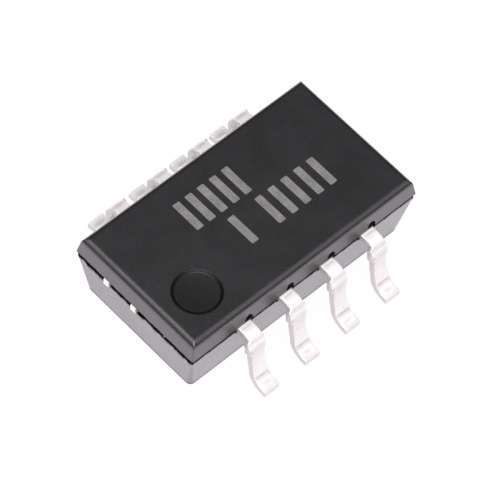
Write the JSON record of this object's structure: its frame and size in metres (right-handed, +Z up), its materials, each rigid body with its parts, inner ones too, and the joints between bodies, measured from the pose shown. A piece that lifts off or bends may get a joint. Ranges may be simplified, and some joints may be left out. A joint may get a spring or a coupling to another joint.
{
  "type": "small-outline chip",
  "caption": "Surface-mount chip in a long black moulded body with a pin 1 dimple and two rows of gull-wing leads along its sides.",
  "frame": {"origin": "middle of the part's box, on the plane of the soles of the lead feet, which is the board's surface", "axes": "+X along the body, away from the end with the pin 1 dimple; +Y across it, towards leads 5 to 8; +Z up through the top face"},
  "size_m": [0.007, 0.006, 0.0022],
  "materials": {
    "mould_compound": "fine-grained epoxy mould compound, matt",
    "lead_plating": "matt tin plating on copper alloy",
    "copper_alloy": "bare copper alloy sheet",
    "die_adhesive": "silver-filled adhesive",
    "silicon": "polished silicon, opaque",
    "gold_wire": "bright gold wire",
    "solder": "matt solder",
    "ceramic": "white alumina ceramic, fine and matt",
    "seal_metal": "gold-plated ring",
    "lid_metal": "nickel-plated lid",
    "quartz": "clear quartz",
    "fork_adhesive": "silver-filled adhesive"
  },
  "bodies": {
    "root": {"mould_body": "mould_compound", "lead_1": "lead_plating", "lead_2": "lead_plating", "lead_3": "lead_plating", "lead_4": "lead_plating", "lead_5": "lead_plating", "lead_6": "lead_plating", "lead_7": "lead_plating", "lead_8": "lead_plating", "die_paddle": "copper_alloy", "crystal_land_left": "copper_alloy", "crystal_land_right": "copper_alloy", "die_attach": "die_adhesive", "silicon_die": "silicon", "bond_wire_1": "gold_wire", "bond_wire_2": "gold_wire", "bond_wire_3": "gold_wire", "bond_wire_4": "gold_wire", "bond_wire_5": "gold_wire", "bond_wire_6": "gold_wire", "bond_wire_7": "gold_wire", "bond_wire_8": "gold_wire", "bond_wire_left": "gold_wire", "bond_wire_right": "gold_wire", "solder_joint_left": "solder", "solder_joint_right": "solder", "crystal_base": "ceramic", "seal_ring": "seal_metal", "crystal_lid": "lid_metal", "quartz_fork": "quartz", "fork_mount_near": "fork_adhesive", "fork_mount_far": "fork_adhesive"}
  },
  "joints": []
}
